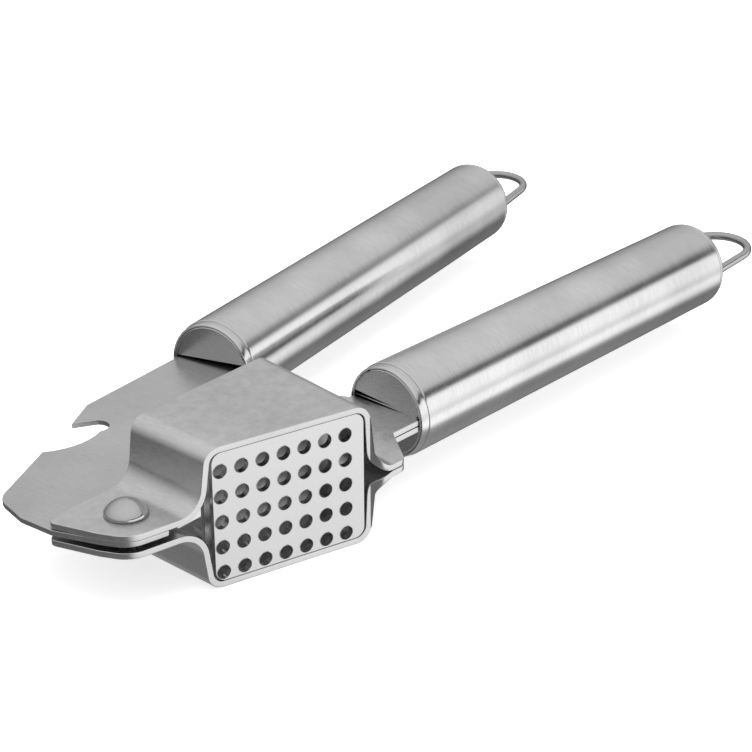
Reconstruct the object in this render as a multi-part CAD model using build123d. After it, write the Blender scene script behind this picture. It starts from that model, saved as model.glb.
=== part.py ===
from build123d import *
import os
from math import cos, radians, sin, tan

# Garlic press. Millimetres, +Z up. The origin is on the chamber's flat underside,
# straight below the fixed handle's axis. +X runs along the fixed handle, and the
# sieve faces -Y. Both handles and the lever plate lie in one middle plane.

# Driving dimensions
SHEET = 1.2                  # chamber sheet
HALF_HEIGHT = 13.65          # middle plane to the chamber's outer face
MID = HALF_HEIGHT            # height of the middle plane above the underside
PLATE_LOW = -0.15            # lever plate's faces, from the middle plane
PLATE_HIGH = 0.95
PLATE_GAP = 0.1              # lever plate to the upper lug
LUG_INNER = PLATE_HIGH + PLATE_GAP
LUG_OUTER = LUG_INNER + SHEET
TANG_INNER = 0.05            # at the flange and tang the two shells almost meet
TANG_OUTER = TANG_INNER + SHEET

SIEVE_ANGLE = -15.1          # sieve direction in plan, from +X
FACE_POINT = (-1.77, -9.73)  # point on the front plane, below the middle hole column
FACE_LEFT = -15.3            # front plane's ends, measured along the sieve
FACE_RIGHT = 17.9
LEFT_WALL_ANGLE = 88.5       # wall directions in plan
RIGHT_WALL_ANGLE = 82.0
LEFT_LEAN = 8.0              # walls lean outward towards the lugs
RIGHT_LEAN = 3.0
CORNER_RADIUS = 3.2          # outer radius of the chamber's long edges
LEFT_FOOT_RADIUS = 4.6       # curve from the wall out to the lug
RIGHT_FOOT_RADIUS = 3.5
TOP_OVERLAP = 20.0           # how far each side's section runs under the flat top

SIEVE_THICK = 1.2
SIEVE_RECESS = 0.15
SIEVE_GAP = 0.05             # sieve edge to the shells
HOLE_RADIUS = 1.3
HOLE_PITCH_X = 4.2
HOLE_PITCH_Z = 4.9
HOLE_COLUMNS = 7
HOLE_ROWS = 5
HOLES_CENTRE = 0.15          # middle of the hole field, along the sieve
HOLES_DROP = 0.9             # the hole field sits a little low

PIVOT = (-26.2, 4.0)
LUG_TIP = (-31.7, -3.0)      # lug's front corner, before rounding
LUG_TIP_RADIUS = 5.5
RIVET_RADIUS = 2.5
RIVET_HEAD_RADIUS = 3.95
RIVET_HEAD_HEIGHT = 2.2
RUNNING_GAP = 0.05           # radial clearance of a turning fit

TUBE_RADIUS = 9.5
TUBE_WALL = 0.8
TUBE_START = 36.0            # fixed tube's near end, on the X axis
FIXED_LENGTH = 101.3         # tube lengths
LEVER_LENGTH = 112.5
MOUTH_ROUNDING = 0.75
CAP_THICK = 1.2
END_CAP_LENGTH = 2.0
END_CAP_PLUG = 5.0
END_CAP_ROUNDING = 1.2
SLOT_HALF_LENGTH = 8.1

LEVER_START = (28.6, 40.27)  # lever tube's near end, middle of the mouth
LEVER_ANGLE = 11.7           # lever tube's direction, from +X
TANG_LENGTH = 22.0           # inside each tube
TANG_HALF_WIDTH = 7.8
NECK_HALF_WIDTH = 8.5        # shells just outside the fixed tube's mouth
SHOULDER_GAP = 0.3           # shoulder to the tube's mouth

WIRE_RADIUS = 0.95
LOOP_HALF_WIDTH = 7.2        # wire centre to wire centre is twice this
LOOP_REACH = 17.5            # end cap face to the wire's far centre
LOOP_DEPTH = 4.0             # wire inside the end cap
LOOP_TILT = 3.8              # the loop slants upwards

PIN_REACH = 28.0             # pivot to plunger pin
PIN_RADIUS = 2.0
OPEN_ANGLE = 13.5            # how far the lever stands open from the pressed pose
FOOT_HALF_HEIGHT = 11.9
FOOT_LEFT = -11.8            # foot's ends from the pin, along the sieve
FOOT_RIGHT = 15.2
FOOT_SHEET = 1.2
FOOT_FRONT = 5.3             # pin axis to the pressing face
FOOT_DEPTH = 9.5             # pressing face to the channel's open edge
SPACER_RADIUS = 3.5
PIN_BOSS_RADIUS = 3.9        # lever plate around the plunger pin
FOOT_SWING_RADIUS = 14.4     # clears the foot's left end as it turns about its pin


def plan_point(base, angle, along, across=0.0):
    """Point at `along` in direction `angle` and `across` to its left, in plan."""
    a = radians(angle)
    return (base[0] + along * cos(a) - across * sin(a), base[1] + along * sin(a) + across * cos(a))


def slab(sketch, low, high):
    """Solid of a plan sketch between two heights measured from the middle plane."""
    return extrude(Pos(0, 0, MID + low) * sketch, high - low)


def rod(centre, radius, low, high):
    """Upright cylinder."""
    return slab(Pos(*centre) * Circle(radius), low, high)


def front_point(along, back=0.0):
    """Point on the chamber's front plane, or `back` behind it, in plan."""
    return plan_point(FACE_POINT, SIEVE_ANGLE, along, back)


def wall_path(inset, lean, foot_radius, foot_level, foot_end):
    """Hat section's outline from the flat top, down the wall, out along the lug or flange."""
    lean_tan = tan(radians(lean))
    shift = inset / cos(radians(lean))
    corner = (inset * lean_tan - shift, HALF_HEIGHT - inset)
    foot = ((HALF_HEIGHT - foot_level + inset) * lean_tan - shift, foot_level - inset)
    points = [(-TOP_OVERLAP, HALF_HEIGHT - inset), corner, foot, (foot_end, foot_level - inset)]
    return FilletPolyline(*points, radius=[CORNER_RADIUS - inset, foot_radius + inset])


def wall_section(lean, foot_radius, foot_level, foot_end):
    """Closed section of one side of a chamber shell, in (outward, up) coordinates."""
    outer = wall_path(0, lean, foot_radius, foot_level, foot_end)
    inner = wall_path(SHEET, lean, foot_radius, foot_level, foot_end)
    ends = [Line(outer @ 0, inner @ 0), Line(outer @ 1, inner @ 1)]
    return make_face([*outer.edges(), *inner.edges(), *ends])


def swept_side(corner, angle, outward, section):
    """Section run 40 mm both ways along a wall's direction in plan."""
    along = Vector(cos(radians(angle)), sin(radians(angle)), 0)
    side = Vector(sin(radians(angle)), -cos(radians(angle)), 0) * outward
    plane = Plane(origin=(corner[0], corner[1], MID), x_dir=side, z_dir=side.cross(Vector(0, 0, 1)))
    face = plane * section
    return extrude(face, 40, dir=along) + extrude(face, 40, dir=-along)


def round_corner(outline, corner, radius):
    """Round the one corner of a plan outline that is at the given point."""
    nearest = outline.vertices().sort_by_distance((*corner, 0))[0]
    return fillet(nearest, radius)


def shell_outline():
    """Plan outline of a chamber shell: lug, chamber, flange with its ear, and tang."""
    front_left = front_point(FACE_LEFT)
    front_right = front_point(FACE_RIGHT)
    tang_end = TUBE_START + TANG_LENGTH
    shoulder = TUBE_START - SHOULDER_GAP
    lug_rear = (-37.3, 12.3)
    ear_outer = (22.0, -16.9)
    ear_inner = (16.6, -16.9)
    points = [
        lug_rear,
        (20.0, 14.7),
        (26.5, 14.9),
        (33.5, 11.1),
        (35.0, NECK_HALF_WIDTH),
        (shoulder, NECK_HALF_WIDTH),
        (shoulder, TANG_HALF_WIDTH),
        (tang_end, TANG_HALF_WIDTH),
        (tang_end, -TANG_HALF_WIDTH),
        (shoulder, -TANG_HALF_WIDTH),
        (shoulder, -NECK_HALF_WIDTH),
        (28.4, -NECK_HALF_WIDTH),
        (24.1, -14.2),
        ear_outer,
        ear_inner,
        front_right,
        front_left,
        LUG_TIP,
        (-34.2, 2.4),
    ]
    outline = make_face(Polyline(*points, close=True))
    outline = round_corner(outline, lug_rear, 1.5)
    outline = round_corner(outline, ear_outer, 2.0)
    outline = round_corner(outline, ear_inner, 2.0)
    return round_corner(outline, LUG_TIP, LUG_TIP_RADIUS)


def upper_shell():
    left = swept_side(front_point(FACE_LEFT), LEFT_WALL_ANGLE, -1,
                      wall_section(LEFT_LEAN, LEFT_FOOT_RADIUS, LUG_OUTER, 30))
    right = swept_side(front_point(FACE_RIGHT), RIGHT_WALL_ANGLE, 1,
                       wall_section(RIGHT_LEAN, RIGHT_FOOT_RADIUS, TANG_OUTER, 50))
    hat = left + right
    shell = hat & slab(shell_outline(), 0, HALF_HEIGHT + 1)
    return shell - rod(PIVOT, RIVET_RADIUS, 0, HALF_HEIGHT)


def lower_shell(upper):
    return mirror(upper, Plane.XY.offset(MID))


def sieve_plate():
    width = FACE_RIGHT - FACE_LEFT - 2 * (SHEET + SIEVE_GAP)
    height = 2 * (HALF_HEIGHT - SHEET - SIEVE_GAP)
    centre = front_point((FACE_LEFT + FACE_RIGHT) / 2, SIEVE_RECESS)
    along = Vector(cos(radians(SIEVE_ANGLE)), sin(radians(SIEVE_ANGLE)), 0)
    inward = Vector(-along.Y, along.X, 0)
    plane = Plane(origin=(*centre, MID), x_dir=along, z_dir=-inward)
    face = RectangleRounded(width, height, CORNER_RADIUS - SHEET)
    field = Pos(HOLES_CENTRE - (FACE_LEFT + FACE_RIGHT) / 2, -HOLES_DROP)
    grid = GridLocations(HOLE_PITCH_X, HOLE_PITCH_Z, HOLE_COLUMNS, HOLE_ROWS)
    face -= field * grid * Circle(HOLE_RADIUS)
    return extrude(plane * face, -SIEVE_THICK)


def pivot_rivet():
    """Shank and a domed head above and below the lugs."""
    dome_radius = (RIVET_HEAD_RADIUS ** 2 + RIVET_HEAD_HEIGHT ** 2) / (2 * RIVET_HEAD_HEIGHT)
    rim = 0.5
    crown = RIVET_HEAD_HEIGHT
    profile = make_face([
        Line((0, 0), (RIVET_RADIUS, 0)),
        Line((RIVET_RADIUS, 0), (RIVET_RADIUS, LUG_OUTER)),
        Line((RIVET_RADIUS, LUG_OUTER), (RIVET_HEAD_RADIUS, LUG_OUTER)),
        Line((RIVET_HEAD_RADIUS, LUG_OUTER), (RIVET_HEAD_RADIUS, LUG_OUTER + rim)),
        RadiusArc((RIVET_HEAD_RADIUS, LUG_OUTER + rim), (0, LUG_OUTER + rim + crown), -dome_radius),
        Line((0, LUG_OUTER + rim + crown), (0, 0)),
    ])
    half = revolve(Plane.XZ * profile, Axis.Z)
    return Pos(*PIVOT, MID) * (half + mirror(half, Plane.XY))


def handle_tube(length):
    """Tube along +X from the origin, its near mouth rolled over."""
    tube = Cylinder(TUBE_RADIUS, length, rotation=(0, 90, 0), align=(Align.CENTER, Align.CENTER, Align.MIN))
    near = tube.edges().filter_by(GeomType.CIRCLE).sort_by(Axis.X)[0]
    tube = fillet(near, MOUTH_ROUNDING)
    bore = Cylinder(TUBE_RADIUS - TUBE_WALL, length, rotation=(0, 90, 0),
                    align=(Align.CENTER, Align.CENTER, Align.MIN))
    return tube - bore


def front_cap(slot_low, slot_high_rear, slot_high_front):
    """Disc in the tube's mouth. Its slot takes the tang and is taller at one end."""
    disc = Cylinder(TUBE_RADIUS - TUBE_WALL, CAP_THICK, rotation=(0, 90, 0),
                    align=(Align.CENTER, Align.CENTER, Align.MIN))
    front_edge = disc.edges().filter_by(GeomType.CIRCLE).sort_by(Axis.X)[0]
    disc = fillet(front_edge, 0.4)
    slot = make_face(Polyline(
        (SLOT_HALF_LENGTH, slot_low),
        (SLOT_HALF_LENGTH, slot_high_rear),
        (-SLOT_HALF_LENGTH, slot_high_front),
        (-SLOT_HALF_LENGTH, slot_low),
        close=True,
    ))
    return disc - extrude(Plane.YZ * slot, 3 * CAP_THICK, both=True)


def end_cap(length):
    """Closes a tube's far end: a rounded disc outside and a plug inside the tube."""
    disc = Pos(length, 0, 0) * Cylinder(TUBE_RADIUS, END_CAP_LENGTH, rotation=(0, 90, 0),
                                        align=(Align.CENTER, Align.CENTER, Align.MIN))
    rim = disc.edges().filter_by(GeomType.CIRCLE).sort_by(Axis.X)[-1]
    disc = fillet(rim, END_CAP_ROUNDING)
    plug = Pos(length - END_CAP_PLUG, 0, 0) * Cylinder(
        TUBE_RADIUS - TUBE_WALL, END_CAP_PLUG, rotation=(0, 90, 0),
        align=(Align.CENTER, Align.CENTER, Align.MIN))
    return disc + plug


def hanging_loop(length):
    """Wire loop, bent to a half circle, with both legs in the end cap of a tube."""
    bend_centre = LOOP_REACH - LOOP_HALF_WIDTH
    path = [
        Line((-LOOP_DEPTH, LOOP_HALF_WIDTH), (bend_centre, LOOP_HALF_WIDTH)),
        ThreePointArc((bend_centre, LOOP_HALF_WIDTH), (LOOP_REACH, 0), (bend_centre, -LOOP_HALF_WIDTH)),
        Line((bend_centre, -LOOP_HALF_WIDTH), (-LOOP_DEPTH, -LOOP_HALF_WIDTH)),
    ]
    section = Plane(origin=(-LOOP_DEPTH, LOOP_HALF_WIDTH, 0), z_dir=(1, 0, 0)) * Circle(WIRE_RADIUS)
    return Pos(length + END_CAP_LENGTH, 0, 0) * Rot(0, -LOOP_TILT, 0) * sweep(section, path=Wire(path))


def fixed_place():
    return Pos(TUBE_START, 0, MID)


def lever_place():
    return Pos(*LEVER_START, MID) * Rot(0, 0, LEVER_ANGLE)


def pin_point():
    """Plunger pin at rest, in plan."""
    return plan_point(PIVOT, SIEVE_ANGLE + OPEN_ANGLE, PIN_REACH)


def lever_outline():
    """Plan outline of the lever plate, without its pin boss. It follows the lugs at the front."""
    arm = SIEVE_ANGLE + OPEN_ANGLE
    boss = PIN_BOSS_RADIUS - 0.2
    arm_front = plan_point(PIVOT, arm, 8, -boss)
    lug_inset = 0.3
    lug_tip = (LUG_TIP[0] + lug_inset, LUG_TIP[1] + lug_inset)
    mouth_rear = plan_point(LEVER_START, LEVER_ANGLE, -SHOULDER_GAP, TANG_HALF_WIDTH)
    mouth_front = plan_point(LEVER_START, LEVER_ANGLE, -SHOULDER_GAP, -TANG_HALF_WIDTH)
    tang_end_rear = plan_point(LEVER_START, LEVER_ANGLE, TANG_LENGTH, TANG_HALF_WIDTH)
    tang_end_front = plan_point(LEVER_START, LEVER_ANGLE, TANG_LENGTH, -TANG_HALF_WIDTH)
    notch_mouth = (-18.9, 35.1)
    notch_throat = (-6.3, 33.7)
    notch_back = (-3.4, 37.7)
    hook_tip = (-7.7, 40.1)
    nose_front = (-36.2, 24.3)
    nose_back = (-33.0, 28.0)
    edges = [
        Polyline(
            arm_front,
            plan_point(PIVOT, arm, PIN_REACH, -boss),
            plan_point(PIVOT, arm, PIN_REACH + 6, 2),
            (13.5, 13.5),
            (11.5, 26.3),
            mouth_front,
            tang_end_front,
            tang_end_rear,
            mouth_rear,
            (-0.33, 44.3),
            hook_tip,
            notch_back,
        ),
        ThreePointArc(notch_back, (-2.9, 35.2), notch_throat),
        ThreePointArc(notch_throat, (-12.2, 32.6), notch_mouth),
        Line(notch_mouth, nose_back),
        ThreePointArc(nose_back, (-35.2, 26.3), nose_front),
        Polyline(nose_front, (-37.6, 18.4), (-37.1, 11.0), (-33.9, 2.45), lug_tip, (-24.0, -4.1), arm_front),
    ]
    outline = make_face([e for curve in edges for e in curve.edges()])
    return round_corner(outline, lug_tip, LUG_TIP_RADIUS - lug_inset)


def foot_clearance():
    """Bite in the lever plate, left of the pin, that the foot's face turns into."""
    swing = Circle(FOOT_SWING_RADIUS)
    reach = 2 * FOOT_SWING_RADIUS
    left_of_boss = Pos(-PIN_BOSS_RADIUS, 0) * Rectangle(reach, reach, align=(Align.MAX, Align.CENTER))
    front_left = Rectangle(reach, reach, align=(Align.MAX, Align.MAX))
    return Pos(*pin_point()) * (swing & (left_of_boss + front_left))


def lever_plate():
    outline = lever_outline() - foot_clearance()
    outline += Pos(*pin_point()) * Circle(PIN_BOSS_RADIUS)
    outline -= Pos(*PIVOT) * Circle(RIVET_RADIUS + RUNNING_GAP)
    outline -= Pos(*pin_point()) * Circle(PIN_RADIUS + RUNNING_GAP)
    return slab(outline, PLATE_LOW, PLATE_HIGH)


def foot_place():
    """Frame at the plunger pin: x along the sieve, y away from it."""
    return Pos(*pin_point(), MID) * Rot(0, 0, SIEVE_ANGLE)


def plunger_foot():
    """Channel: pressing face in front, one guide flange above and one below."""
    width = FOOT_RIGHT - FOOT_LEFT
    middle = (FOOT_LEFT + FOOT_RIGHT) / 2
    face = Pos(middle, 0) * RectangleRounded(width, 2 * FOOT_HALF_HEIGHT, 2.4)
    face_plane = Plane(origin=(0, -FOOT_FRONT, 0), x_dir=(1, 0, 0), z_dir=(0, -1, 0))
    front = extrude(face_plane * face, -FOOT_SHEET)
    flange = Box(18, FOOT_DEPTH, FOOT_SHEET, align=(Align.CENTER, Align.MIN, Align.MAX))
    top = Pos(0, -FOOT_FRONT, FOOT_HALF_HEIGHT) * flange
    foot = front + top + mirror(top, Plane.XY)
    foot -= Cylinder(PIN_RADIUS, 3 * FOOT_HALF_HEIGHT)
    return foot_place() * foot


def plunger_pin():
    return foot_place() * Cylinder(PIN_RADIUS, 2 * FOOT_HALF_HEIGHT)


def plunger_spacer(low, high):
    """Sleeve on the plunger pin between two heights from the middle plane."""
    sleeve = Cylinder(SPACER_RADIUS, high - low) - Cylinder(PIN_RADIUS, high - low)
    return foot_place() * Pos(0, 0, (low + high) / 2) * sleeve


def build_parts():
    fixed = fixed_place()
    lever = lever_place()
    upper = upper_shell()
    fixed_loop = hanging_loop(FIXED_LENGTH)
    lever_loop = hanging_loop(LEVER_LENGTH)
    fixed_cap = front_cap(-TANG_OUTER, TANG_OUTER + 1.3, TANG_OUTER)
    lever_cap = front_cap(PLATE_LOW, PLATE_HIGH + 0.3, PLATE_HIGH + 1.2)
    inside_foot = FOOT_HALF_HEIGHT - FOOT_SHEET
    return {
        "upper_shell": upper,
        "lower_shell": lower_shell(upper),
        "sieve_plate": sieve_plate(),
        "pivot_rivet": pivot_rivet(),
        "fixed_handle_tube": fixed * handle_tube(FIXED_LENGTH),
        "fixed_front_cap": fixed * fixed_cap,
        "fixed_end_cap": fixed * (end_cap(FIXED_LENGTH) - fixed_loop),
        "fixed_hanging_loop": fixed * fixed_loop,
        "lever_plate": lever_plate(),
        "lever_handle_tube": lever * handle_tube(LEVER_LENGTH),
        "lever_front_cap": lever * lever_cap,
        "lever_end_cap": lever * (end_cap(LEVER_LENGTH) - lever_loop),
        "lever_hanging_loop": lever * lever_loop,
        "plunger_foot": plunger_foot(),
        "plunger_pin": plunger_pin(),
        "plunger_spacer_upper": plunger_spacer(PLATE_HIGH + PLATE_GAP, inside_foot),
        "plunger_spacer_lower": plunger_spacer(-inside_foot, PLATE_LOW - PLATE_GAP),
    }


os.makedirs("parts", exist_ok=True)
for name, shape in build_parts().items():
    export_step(shape, f"parts/{name}.step")
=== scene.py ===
from math import acos, cos, pi, radians, sin

import bmesh
import bpy
from mathutils import Matrix, Vector


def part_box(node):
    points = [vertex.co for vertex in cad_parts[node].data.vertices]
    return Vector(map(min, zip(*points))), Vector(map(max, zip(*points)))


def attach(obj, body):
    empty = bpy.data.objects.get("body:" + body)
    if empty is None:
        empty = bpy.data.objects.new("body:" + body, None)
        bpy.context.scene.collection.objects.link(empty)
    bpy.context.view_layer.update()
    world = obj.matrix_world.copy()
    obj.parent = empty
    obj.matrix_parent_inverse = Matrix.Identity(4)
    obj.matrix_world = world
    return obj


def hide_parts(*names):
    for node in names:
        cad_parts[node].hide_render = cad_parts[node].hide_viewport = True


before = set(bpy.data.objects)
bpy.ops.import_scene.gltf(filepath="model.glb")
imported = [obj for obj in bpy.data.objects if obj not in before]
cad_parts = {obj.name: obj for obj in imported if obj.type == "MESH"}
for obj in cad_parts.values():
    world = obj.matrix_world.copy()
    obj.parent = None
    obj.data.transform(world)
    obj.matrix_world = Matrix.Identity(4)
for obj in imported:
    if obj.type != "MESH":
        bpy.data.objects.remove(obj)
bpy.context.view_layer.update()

# Metres. The fixed handle runs along +X, and the sieve faces -Y.

# Where the handles, the sieve and the rivet are
MID = 0.01365                      # height of the middle plane, where both handles lie
FIXED_START = (0.036, 0.0)         # near end of each tube, in plan
LEVER_START = (0.0286, 0.04027)
LEVER_ANGLE = radians(11.7)
PIVOT = (-0.0262, 0.004)
SIEVE_ANGLE = radians(-15.1)

# Tubes and their ends
TUBE_RADIUS = 0.0095
BORE_RADIUS = 0.0087
FIXED_LENGTH = 0.1013
LEVER_LENGTH = 0.1125
MOUTH_LENGTH = 0.0022              # how far back the mouth is rolled in
MOUTH_STEP = 0.00022               # the rolled mouth's radius is this much smaller than the tube's
MOUTH_STEP_LENGTH = 0.15 * MOUTH_LENGTH
MOUTH_LIP = 0.0003                 # rounding of the lip's inner edge
END_CAP_LENGTH = 0.002
END_CAP_PLUG = 0.005
END_CAP_ROUNDING = 0.0012
END_CAP_DOME = 0.0003
SEAM = 0.00012                     # bevel at the tube's far end

# Hanging loops
WIRE_RADIUS = 0.00095
LOOP_HALF_WIDTH = 0.0072
LOOP_REACH = 0.0175
LOOP_DEPTH = 0.004
LOOP_TILT = radians(3.8)

# Rivet
RIVET_RADIUS = 0.0025
HEAD_RADIUS = 0.00395
HEAD_RIM = 0.0005
HEAD_HEIGHT = 0.0022
HEAD_EDGE = 0.0002
DOME_SPAN = 0.97                   # the dome's arc starts a little above the rim's edge
LUG_TOP = 0.00225                  # lug's outer face from the middle plane

# Sieve
SIEVE_THICK = 0.0012
SIEVE_CORNER = 0.002
SIEVE_EDGE = 0.00005
HOLE_RADIUS = 0.0013
HOLE_PITCH_X = 0.0042
HOLE_PITCH_Z = 0.0049
HOLE_COLUMNS = 7
HOLE_ROWS = 5
HOLES_SHIFT = 0.00115              # the hole field is nearer the sieve's left end
HOLES_DROP = 0.0009
LIP_WIDTH = 0.00013                # metal pushed up round each punched hole
LIP_HEIGHT = 0.00006
LIP_PROFILE = [                    # (share of the lip's width outside the hole, share of its height)
    (1.0, 0.0),
    (0.7, 0.45),
    (0.4, 0.95),
    (0.22, 1.0),
    (0.06, 0.4),
    (0.0, -0.5),
]

# Meshes
ON_AXIS = 1e-7                     # a smaller radius is a point on the axis
MERGE = 2e-6                       # vertices closer than this are one
FLAT = radians(0.3)                # faces that turn less than this are one
SHARP = radians(28)
SHEET_EDGE = 0.00016               # rounding on the shells' and plate's cut edges
SMALL_EDGE = 0.00012

# Steel's fine structure
GRAIN_SCALE = 9000.0               # grains per metre
GRAIN_SHARE = 0.35                 # how much the grain adds to the brushed relief
CLOUD_SCALE = 55.0                 # soft patches per metre
RELIEF_DEPTH = 0.00002
LINES_ROUGHNESS = (-0.04, 0.05)    # what the brush lines and the patches add to the roughness
CLOUD_ROUGHNESS = (-0.02, 0.03)

# Surroundings, as (height of direction, brightness) from straight down to straight up
FRONT_CARD = [(-0.85, 0.35), (-0.62, 0.5), (-0.46, 1.5), (-0.36, 1.5), (-0.2, 1.1), (0.0, 1.4),
              (0.3, 1.45), (0.35, 0.05), (0.47, 0.05), (0.56, 0.8), (1.0, 0.95)]
BACK_WALL = [(-0.9, 0.4), (-0.4, 0.14), (-0.1, 0.2), (0.15, 0.45), (0.4, 0.68), (0.65, 0.85), (1.0, 0.95)]
CARD_DIRECTION = (0.35, -0.94)     # where the bright card stands, in plan
CARD_EDGE = (0.45, 0.75)           # it fades in between these cosines of the angle from there

FLOOR_GLOW = 0.62                  # the floor's own light, which keeps the shadow faint
LIGHT_PLACE = (0.05, 0.05, 1.2)
LIGHT_SIZE = (1.2, 1.2)
LIGHT_POWER = 9.0

# Camera
VIEW_TARGET = (0.0474, 0.0127, MID)
VIEW_AZIMUTH = radians(41.888)     # direction of view in plan, from +X
VIEW_ELEVATION = radians(24.477)
VIEW_ROLL = radians(-0.398)
VIEW_DISTANCE = 0.3996
LENS_MM = 96.6


# Mesh helpers

def new_piece(name, bm, place=Matrix.Identity(4)):
    """Object from a bmesh, smooth except at its sharp edges."""
    bmesh.ops.recalc_face_normals(bm, faces=bm.faces)
    for face in bm.faces:
        face.smooth = True
    for edge in bm.edges:
        edge.smooth = len(edge.link_faces) == 2 and edge.calc_face_angle() < SHARP
    mesh = bpy.data.meshes.new(name)
    bm.to_mesh(mesh)
    bm.free()
    piece = bpy.data.objects.new(name, mesh)
    bpy.context.scene.collection.objects.link(piece)
    piece.matrix_world = place
    return piece


def flat_faces_flat(piece):
    """Flat faces keep their own normal where they meet a rounded edge."""
    modifier = piece.modifiers.new("weighted_normals", "WEIGHTED_NORMAL")
    modifier.mode = "FACE_AREA"
    modifier.weight = 100
    modifier.keep_sharp = True
    return piece


def install(piece, body, node, material):
    """The piece stands for one CAD node and takes its material."""
    piece.data.materials.clear()
    piece.data.materials.append(material)
    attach(piece, body)
    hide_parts(node)
    return piece


def arc(centre, radii, start, end, steps):
    """Points on an ellipse's arc, from one angle to the other."""
    points = []
    for i in range(steps + 1):
        a = start + (end - start) * i / steps
        points.append((centre[0] + radii[0] * cos(a), centre[1] + radii[1] * sin(a)))
    return points


def lathe(name, profile, place, closed, segments=128):
    """Turned body about the local X axis. The profile is a list of (x, radius)."""
    bm = bmesh.new()
    rings = []
    for x, radius in profile:
        if radius < ON_AXIS:
            rings.append([bm.verts.new((x, 0, 0))])
            continue
        angles = [2 * pi * i / segments for i in range(segments)]
        rings.append([bm.verts.new((x, radius * cos(a), radius * sin(a))) for a in angles])
    pairs = list(zip(rings, rings[1:]))
    if closed:
        pairs.append((rings[-1], rings[0]))
    for ring, following in pairs:
        for i in range(segments):
            j = (i + 1) % segments
            corners = [ring[i % len(ring)], ring[j % len(ring)]]
            corners += [following[j % len(following)], following[i % len(following)]]
            bm.faces.new(list(dict.fromkeys(corners)))
    return new_piece(name, bm, place)


def rounded_copy(name, node, width, segments=3):
    """Copy of a CAD node's mesh with its sharp edges rounded."""
    bm = bmesh.new()
    bm.from_mesh(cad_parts[node].data)
    bmesh.ops.remove_doubles(bm, verts=bm.verts, dist=MERGE)
    bmesh.ops.dissolve_limit(bm, angle_limit=FLAT, verts=bm.verts, edges=bm.edges)
    sharp = [e for e in bm.edges if len(e.link_faces) == 2 and e.calc_face_angle() > SHARP]
    bmesh.ops.bevel(bm, geom=sharp, offset=width, segments=segments, profile=0.5,
                    affect="EDGES", offset_type="OFFSET", clamp_overlap=False)
    bmesh.ops.remove_doubles(bm, verts=bm.verts, dist=MERGE)
    return flat_faces_flat(new_piece(name, bm))


# Handles

def handle_place(start, angle):
    return Matrix.Translation((start[0], start[1], MID)) @ Matrix.Rotation(angle, 4, "Z")


def handle_tube(name, length, place):
    """Tube with a mouth rolled over towards the cap."""
    lip_top = BORE_RADIUS + MOUTH_LIP
    profile = arc((MOUTH_LIP, lip_top), (MOUTH_LIP, MOUTH_LIP), -pi / 2, -pi, 5)
    rolled = TUBE_RADIUS - MOUTH_STEP
    half = MOUTH_LENGTH / 2
    profile += arc((half, lip_top), (half, rolled - lip_top), pi, pi / 2, 8)[1:]
    profile += arc((MOUTH_LENGTH, rolled), (MOUTH_STEP_LENGTH, MOUTH_STEP), pi, pi / 2, 6)
    profile += [
        (length - SEAM, TUBE_RADIUS),
        (length, TUBE_RADIUS - SEAM),
        (length, BORE_RADIUS),
    ]
    return lathe(name, profile, place, closed=True)


def end_cap(name, length, place):
    """Rounded and slightly domed disc, with its plug inside the tube."""
    face = length + END_CAP_LENGTH
    shoulder = TUBE_RADIUS - END_CAP_ROUNDING
    profile = [
        (length - END_CAP_PLUG, 0.0),
        (length - END_CAP_PLUG, BORE_RADIUS),
        (length, BORE_RADIUS),
        (length, TUBE_RADIUS - SEAM),
        (length + SEAM, TUBE_RADIUS),
    ]
    corner = (face - END_CAP_DOME - END_CAP_ROUNDING, shoulder)
    profile += arc(corner, (END_CAP_ROUNDING, END_CAP_ROUNDING), pi / 2, 0.05, 10)
    profile += [
        (face - 0.4 * END_CAP_DOME, 0.6 * shoulder),
        (face - 0.1 * END_CAP_DOME, 0.3 * shoulder),
        (face, 0.0),
    ]
    return lathe(name, profile, place, closed=False)


def hanging_loop(name, length, place):
    """Wire bent to a half circle, with both legs in the end cap. It slants upwards."""
    start = -LOOP_DEPTH
    bend = LOOP_REACH - LOOP_HALF_WIDTH
    bend_steps = 40
    sides = 24
    path = [(Vector((start, LOOP_HALF_WIDTH, 0)), 0.0)]
    for i in range(bend_steps + 1):
        a = pi * i / bend_steps
        point = Vector((bend + LOOP_HALF_WIDTH * sin(a), LOOP_HALF_WIDTH * cos(a), 0))
        path.append((point, a))
    path.append((Vector((start, -LOOP_HALF_WIDTH, 0)), pi))
    bm = bmesh.new()
    rings = []
    for point, a in path:
        outward = Vector((sin(a), cos(a), 0))
        ring = []
        for k in range(sides):
            b = 2 * pi * k / sides
            ring.append(bm.verts.new(point + WIRE_RADIUS * (cos(b) * outward + sin(b) * Vector((0, 0, 1)))))
        rings.append(ring)
    for ring, following in zip(rings, rings[1:]):
        for k in range(sides):
            j = (k + 1) % sides
            bm.faces.new((ring[k], ring[j], following[j], following[k]))
    bm.faces.new(rings[0])
    bm.faces.new(rings[-1])
    cap_face = Matrix.Translation((length + END_CAP_LENGTH, 0, 0))
    return new_piece(name, bm, place @ cap_face @ Matrix.Rotation(-LOOP_TILT, 4, "Y"))


# Rivet

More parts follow.
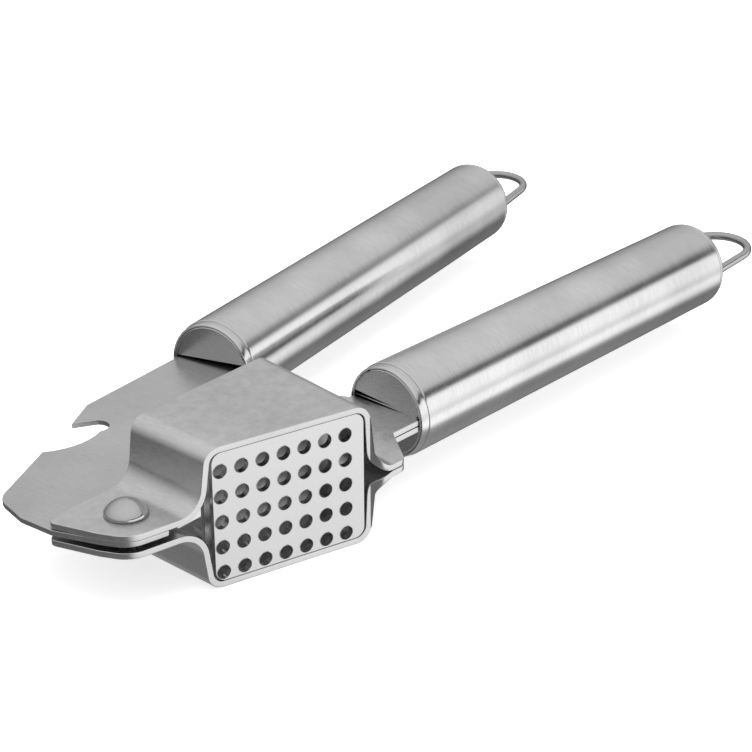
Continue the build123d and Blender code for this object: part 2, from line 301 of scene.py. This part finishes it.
def rivet():
    """Shank and two domed heads, turned about the pivot's axis."""
    dome_radius = (HEAD_RADIUS ** 2 + HEAD_HEIGHT ** 2) / (2 * HEAD_HEIGHT)
    rim_top = LUG_TOP + HEAD_RIM
    dome_centre = rim_top + HEAD_HEIGHT - dome_radius
    dome_angle = acos((dome_radius - HEAD_HEIGHT) / dome_radius)
    half = [(0.0, RIVET_RADIUS), (LUG_TOP, RIVET_RADIUS), (LUG_TOP, HEAD_RADIUS - HEAD_EDGE)]
    half += [(LUG_TOP + HEAD_EDGE, HEAD_RADIUS), (rim_top - HEAD_EDGE, HEAD_RADIUS)]
    steps = 16
    for i in range(steps + 1):
        a = dome_angle * DOME_SPAN * (1 - i / steps)
        half.append((dome_centre + dome_radius * cos(a), dome_radius * sin(a)))
    lower = [(-x, radius) for x, radius in reversed(half[1:])]
    place = Matrix.Translation((PIVOT[0], PIVOT[1], MID)) @ Matrix.Rotation(-pi / 2, 4, "Y")
    return lathe("rivet", lower + half, place, closed=False, segments=96)


# Sieve

def sieve_size():
    """Width and height of the sieve, from its box in the frame."""
    low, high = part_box("sieve_plate")
    width = (high.x - low.x - SIEVE_THICK * abs(sin(SIEVE_ANGLE))) / cos(SIEVE_ANGLE)
    return width, high.z - low.z


def sieve_place():
    """Frame in the middle of the sieve's front face: x along it, y into it, z up."""
    low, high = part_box("sieve_plate")
    turned = Matrix.Rotation(SIEVE_ANGLE, 4, "Z")
    front = (low + high) / 2 + turned @ Vector((0, -SIEVE_THICK / 2, 0))
    return Matrix.Translation(front) @ turned


def ring_of(bm, centre, radius, depth, sides=32):
    angles = [2 * pi * i / sides for i in range(sides)]
    return [bm.verts.new((centre[0] + radius * cos(a), depth, centre[1] + radius * sin(a))) for a in angles]


def sieve_outline(bm, width, height, inset, depth):
    """Rounded rectangle, as a ring of vertices."""
    radius = SIEVE_CORNER - inset
    ring = []
    for quarter in range(4):
        side_x = 1 if quarter in (0, 3) else -1
        side_z = 1 if quarter in (0, 1) else -1
        centre = (side_x * (width / 2 - SIEVE_CORNER), side_z * (height / 2 - SIEVE_CORNER))
        for x, z in arc(centre, (radius, radius), quarter * pi / 2, (quarter + 1) * pi / 2, 8):
            ring.append(bm.verts.new((x, depth, z)))
    return ring


def bridge(bm, ring, following):
    for i in range(len(ring)):
        j = (i + 1) % len(ring)
        bm.faces.new((ring[i], ring[j], following[j], following[i]))


def fill_between(bm, rings):
    """Flat face bounded by the first ring, with the other rings as holes."""
    edges = []
    for ring in rings:
        for i in range(len(ring)):
            j = (i + 1) % len(ring)
            edges.append(bm.edges.get((ring[i], ring[j])) or bm.edges.new((ring[i], ring[j])))
    bmesh.ops.triangle_fill(bm, use_beauty=True, use_dissolve=False, edges=edges, normal=(0, -1, 0))


def hole_wall(bm, centre):
    """Wall of one hole, as rings from the front face over the lip to the back face."""
    rings = [
        ring_of(bm, centre, HOLE_RADIUS + width * LIP_WIDTH, -height * LIP_HEIGHT)
        for width, height in LIP_PROFILE
    ]
    rings.append(ring_of(bm, centre, HOLE_RADIUS, SIEVE_THICK - SIEVE_EDGE))
    rings.append(ring_of(bm, centre, HOLE_RADIUS + SIEVE_EDGE, SIEVE_THICK))
    for ring, following in zip(rings, rings[1:]):
        bridge(bm, ring, following)
    return rings


def sieve():
    """Plate with punched holes. Each hole has a raised lip in front and a rounded edge behind."""
    width, height = sieve_size()
    bm = bmesh.new()
    outline = [
        sieve_outline(bm, width, height, SIEVE_EDGE, 0.0),
        sieve_outline(bm, width, height, 0.0, SIEVE_EDGE),
        sieve_outline(bm, width, height, 0.0, SIEVE_THICK - SIEVE_EDGE),
        sieve_outline(bm, width, height, SIEVE_EDGE, SIEVE_THICK),
    ]
    for ring, following in zip(outline, outline[1:]):
        bridge(bm, ring, following)
    front = [outline[0]]
    back = [outline[-1]]
    for column in range(HOLE_COLUMNS):
        for row in range(HOLE_ROWS):
            x = (column - (HOLE_COLUMNS - 1) / 2) * HOLE_PITCH_X - HOLES_SHIFT
            z = (row - (HOLE_ROWS - 1) / 2) * HOLE_PITCH_Z - HOLES_DROP
            rings = hole_wall(bm, (x, z))
            front.append(rings[0])
            back.append(rings[-1])
    fill_between(bm, front)
    fill_between(bm, back)
    return flat_faces_flat(new_piece("sieve", bm, sieve_place()))


# Materials

class Nodes:
    """Adds and links the nodes of one shader tree."""

    def __init__(self, tree):
        self.tree = tree

    def add(self, kind, **settings):
        node = self.tree.nodes.new(kind)
        for name, value in settings.items():
            setattr(node, name, value)
        return node

    def link(self, output, entry):
        self.tree.links.new(output, entry)

    def noise(self, vector, scale, detail, roughness=0.55):
        node = self.add("ShaderNodeTexNoise")
        node.inputs["Scale"].default_value = scale
        node.inputs["Detail"].default_value = detail
        node.inputs["Roughness"].default_value = roughness
        self.link(vector, node.inputs["Vector"])
        return node.outputs["Fac"]

    def stretched(self, vector, scale, turn=0.0):
        node = self.add("ShaderNodeMapping")
        node.inputs["Rotation"].default_value = (0, 0, turn)
        node.inputs["Scale"].default_value = scale
        self.link(vector, node.inputs["Vector"])
        return node.outputs["Vector"]

    def to_range(self, value, low, high, start=0.3, end=0.7):
        node = self.add("ShaderNodeMapRange")
        node.inputs["From Min"].default_value = start
        node.inputs["From Max"].default_value = end
        node.inputs["To Min"].default_value = low
        node.inputs["To Max"].default_value = high
        self.link(value, node.inputs["Value"])
        return node.outputs["Result"]

    def math(self, operation, first, second):
        node = self.add("ShaderNodeMath", operation=operation)
        for entry, value in zip(node.inputs, (first, second)):
            if isinstance(value, (int, float)):
                entry.default_value = value
            else:
                self.link(value, entry)
        return node.outputs["Value"]


def round_coordinates(nodes, vector):
    """Metres along the local X axis, and metres round it on the tube's skin."""
    split = nodes.add("ShaderNodeSeparateXYZ")
    nodes.link(vector, split.inputs["Vector"])
    around = nodes.math("ARCTAN2", split.outputs["Z"], split.outputs["Y"])
    joined = nodes.add("ShaderNodeCombineXYZ")
    nodes.link(split.outputs["X"], joined.inputs["X"])
    nodes.link(nodes.math("MULTIPLY", around, TUBE_RADIUS), joined.inputs["Y"])
    return joined.outputs["Vector"]


def new_metal(name):
    """Material with a metal shader. Returns the material, its nodes and the shader."""
    material = bpy.data.materials.new(name)
    material.use_nodes = True
    tree = material.node_tree
    tree.nodes.clear()
    nodes = Nodes(tree)
    output = nodes.add("ShaderNodeOutputMaterial")
    shader = nodes.add("ShaderNodeBsdfPrincipled")
    nodes.link(shader.outputs["BSDF"], output.inputs["Surface"])
    shader.inputs["Metallic"].default_value = 1.0
    return material, nodes, shader


def set_grey(nodes, shader, shade):
    """The same varying value in all three colour channels."""
    tone = nodes.add("ShaderNodeCombineColor")
    for channel in ("Red", "Green", "Blue"):
        nodes.link(shade, tone.inputs[channel])
    nodes.link(tone.outputs["Color"], shader.inputs["Base Color"])


def set_relief(nodes, shader, height, relief):
    bump = nodes.add("ShaderNodeBump")
    bump.inputs["Strength"].default_value = relief
    bump.inputs["Distance"].default_value = RELIEF_DEPTH
    nodes.link(height, bump.inputs["Height"])
    nodes.link(bump.outputs["Normal"], shader.inputs["Normal"])


def spread_gloss(nodes, shader, anisotropy):
    """Gloss stretched along the local X axis, across brush lines that run round it."""
    shader.inputs["Anisotropic"].default_value = anisotropy
    axis = nodes.add("ShaderNodeVectorTransform", vector_type="VECTOR", convert_from="OBJECT",
                     convert_to="WORLD")
    axis.inputs["Vector"].default_value = (1, 0, 0)
    nodes.link(axis.outputs["Vector"], shader.inputs["Tangent"])


def steel(name, grey, roughness, brush_scale, turned=False, turn=0.0, anisotropy=0.0,
          relief=0.1, blotch=0.05):
    """Brushed or satin steel. brush_scale is lines per metre along local x, y and z."""
    material, nodes, shader = new_metal(name)
    place = nodes.add("ShaderNodeTexCoord").outputs["Object"]
    brushed = round_coordinates(nodes, place) if turned else place
    lines = nodes.noise(nodes.stretched(brushed, brush_scale, turn), 1.0, 3.0, 0.6)
    grain = nodes.noise(place, GRAIN_SCALE, 2.0)
    cloud = nodes.noise(place, CLOUD_SCALE, 3.0)

    shade = nodes.math("MULTIPLY", nodes.to_range(lines, 1 - blotch, 1 + blotch),
                       nodes.to_range(cloud, 1 - blotch, 1 + blotch))
    set_grey(nodes, shader, nodes.math("MULTIPLY", shade, grey))
    rough = nodes.math("ADD", nodes.to_range(lines, *LINES_ROUGHNESS),
                       nodes.to_range(cloud, *CLOUD_ROUGHNESS))
    nodes.link(nodes.math("ADD", rough, roughness), shader.inputs["Roughness"])
    height = nodes.math("ADD", lines, nodes.math("MULTIPLY", grain, GRAIN_SHARE))
    set_relief(nodes, shader, height, relief)
    if anisotropy:
        spread_gloss(nodes, shader, anisotropy)
    return material


def make_materials():
    return {
        "shell_steel": steel("satin_shell", 0.60, 0.29, (500, 500, 9000), relief=0.18, blotch=0.08),
        "sieve_steel": steel("bright_sieve", 0.57, 0.24, (600, 600, 9000), relief=0.08),
        "rivet_steel": steel("polished_rivet", 0.5, 0.12, (3000, 3000, 3000), relief=0.04),
        "inner_steel": steel("plain_inner", 0.55, 0.35, (3000, 3000, 3000), relief=0.1),
        "tube_steel": steel("brushed_tube", 0.60, 0.18, (9000, 250, 1), turned=True, anisotropy=0.7,
                            relief=0.22, blotch=0.10),
        "cap_steel": steel("satin_cap", 0.55, 0.27, (1, 300, 5000), relief=0.08),
        "end_cap_steel": steel("satin_end_cap", 0.62, 0.26, (9000, 250, 1), turned=True, relief=0.08),
        "wire_steel": steel("drawn_wire", 0.42, 0.20, (2500, 2500, 2500), relief=0.05),
        "plate_steel": steel("satin_plate", 0.56, 0.31, (7000, 450, 450), turn=0.2, relief=0.18, blotch=0.08),
        "foot_steel": steel("satin_foot", 0.56, 0.30, (450, 7000, 450), relief=0.1),
    }


# Stage

def make_floor():
    bm = bmesh.new()
    bmesh.ops.create_grid(bm, x_segments=8, y_segments=8, size=2.0)
    floor = new_piece("floor", bm)
    material = bpy.data.materials.new("pale_floor")
    material.use_nodes = True
    shader = material.node_tree.nodes["Principled BSDF"]
    shader.inputs["Base Color"].default_value = (0.9, 0.9, 0.9, 1)
    shader.inputs["Roughness"].default_value = 0.9
    shader.inputs["Specular IOR Level"].default_value = 0.1
    shader.inputs["Emission Color"].default_value = (1, 1, 1, 1)
    shader.inputs["Emission Strength"].default_value = FLOOR_GLOW
    floor.data.materials.append(material)
    floor.visible_glossy = False


# A Mix node's colour sockets share their names with its other sockets
MIX_COLOUR_A = 6
MIX_COLOUR_B = 7
MIX_COLOUR = 2


def make_world():
    """Soft studio surroundings: a bright card in front with a dark gap above it, and grey walls."""
    world = bpy.data.worlds.new("studio")
    bpy.context.scene.world = world
    world.use_nodes = True
    nodes = Nodes(world.node_tree)
    split = nodes.add("ShaderNodeSeparateXYZ")
    nodes.link(nodes.add("ShaderNodeTexCoord").outputs["Generated"], split.inputs["Vector"])

    def ramp(stops):
        node = nodes.add("ShaderNodeValToRGB")
        node.color_ramp.interpolation = "EASE"
        entries = node.color_ramp.elements
        entries.remove(entries[0])
        for i, (height, level) in enumerate(stops):
            entry = entries[0] if i == 0 else entries.new((height + 1) / 2)
            entry.position = (height + 1) / 2
            entry.color = (level, level, level, 1)
        nodes.link(nodes.to_range(split.outputs["Z"], 0.0, 1.0, -1.0, 1.0), node.inputs["Fac"])
        return node.outputs["Color"]

    front = ramp(FRONT_CARD)
    back = ramp(BACK_WALL)
    across = nodes.math("MULTIPLY", split.outputs["X"], CARD_DIRECTION[0])
    towards = nodes.math("ADD", across, nodes.math("MULTIPLY", split.outputs["Y"], CARD_DIRECTION[1]))
    side = nodes.to_range(towards, 0.0, 1.0, CARD_EDGE[0], CARD_EDGE[1])
    mix = nodes.add("ShaderNodeMix", data_type="RGBA")
    nodes.link(side, mix.inputs["Factor"])
    nodes.link(back, mix.inputs[MIX_COLOUR_A])
    nodes.link(front, mix.inputs[MIX_COLOUR_B])
    background = world.node_tree.nodes["Background"]
    nodes.link(mix.outputs[MIX_COLOUR], background.inputs["Color"])
    background.inputs["Strength"].default_value = 1.0


def make_light(name, location, size, power):
    light = bpy.data.lights.new(name, "AREA")
    light.shape = "RECTANGLE"
    light.size, light.size_y = size
    light.energy = power
    holder = bpy.data.objects.new(name, light)
    holder.location = location
    aim = Vector(VIEW_TARGET) - Vector(location)
    holder.rotation_euler = aim.to_track_quat("-Z", "Y").to_euler()
    holder.visible_glossy = False
    bpy.context.scene.collection.objects.link(holder)


def make_camera():
    data = bpy.data.cameras.new("camera")
    data.sensor_width = 36.0
    data.lens = LENS_MM
    data.clip_start = 0.01
    data.clip_end = 20.0
    view = Vector((
        cos(VIEW_ELEVATION) * cos(VIEW_AZIMUTH),
        cos(VIEW_ELEVATION) * sin(VIEW_AZIMUTH),
        -sin(VIEW_ELEVATION),
    ))
    level = view.cross(Vector((0, 0, 1))).normalized()
    upright = level.cross(view)
    right = cos(VIEW_ROLL) * level + sin(VIEW_ROLL) * upright
    up = cos(VIEW_ROLL) * upright - sin(VIEW_ROLL) * level
    turned = Matrix((right, up, -view)).transposed().to_4x4()
    camera = bpy.data.objects.new("camera", data)
    camera.matrix_world = Matrix.Translation(Vector(VIEW_TARGET) - VIEW_DISTANCE * view) @ turned
    bpy.context.scene.collection.objects.link(camera)
    bpy.context.scene.camera = camera


def make_stage():
    bpy.context.scene.view_settings.view_transform = "Standard"
    make_floor()
    make_world()
    make_light("overhead", LIGHT_PLACE, LIGHT_SIZE, LIGHT_POWER)
    make_camera()


# The whole press

def make_handle(side, body, length, place, materials):
    tube = handle_tube(side + "_tube", length, place)
    install(tube, body, side + "_handle_tube", materials["tube_steel"])
    far_cap = end_cap(side + "_rear_cap", length, place)
    install(far_cap, body, side + "_end_cap", materials["end_cap_steel"])
    loop = hanging_loop(side + "_loop", length, place)
    install(loop, body, side + "_hanging_loop", materials["wire_steel"])
    near_cap = rounded_copy(side + "_mouth_cap", side + "_front_cap", SMALL_EDGE)
    install(near_cap, body, side + "_front_cap", materials["cap_steel"])


def make_sheet_parts(materials):
    """Pressed and cut parts: the CAD shapes with rounded edges."""
    parts = [
        ("shell_top", "upper_shell", "chamber_arm", "shell_steel", SHEET_EDGE),
        ("shell_bottom", "lower_shell", "chamber_arm", "shell_steel", SHEET_EDGE),
        ("plate", "lever_plate", "lever", "plate_steel", SHEET_EDGE),
        ("foot", "plunger_foot", "plunger", "foot_steel", SMALL_EDGE),
        ("pin", "plunger_pin", "plunger", "rivet_steel", SMALL_EDGE),
    ]
    for name, node, body, slot, width in parts:
        piece = rounded_copy(name, node, width)
        install(piece, body, node, materials[slot])


def make_press():
    materials = make_materials()
    make_handle("fixed", "chamber_arm", FIXED_LENGTH, handle_place(FIXED_START, 0.0), materials)
    make_handle("lever", "lever", LEVER_LENGTH, handle_place(LEVER_START, LEVER_ANGLE), materials)
    make_sheet_parts(materials)
    install(rivet(), "chamber_arm", "pivot_rivet", materials["rivet_steel"])
    install(sieve(), "chamber_arm", "sieve_plate", materials["sieve_steel"])
    for node in ("plunger_spacer_upper", "plunger_spacer_lower"):
        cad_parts[node].material_slots[0].material = materials["inner_steel"]


make_stage()
make_press()
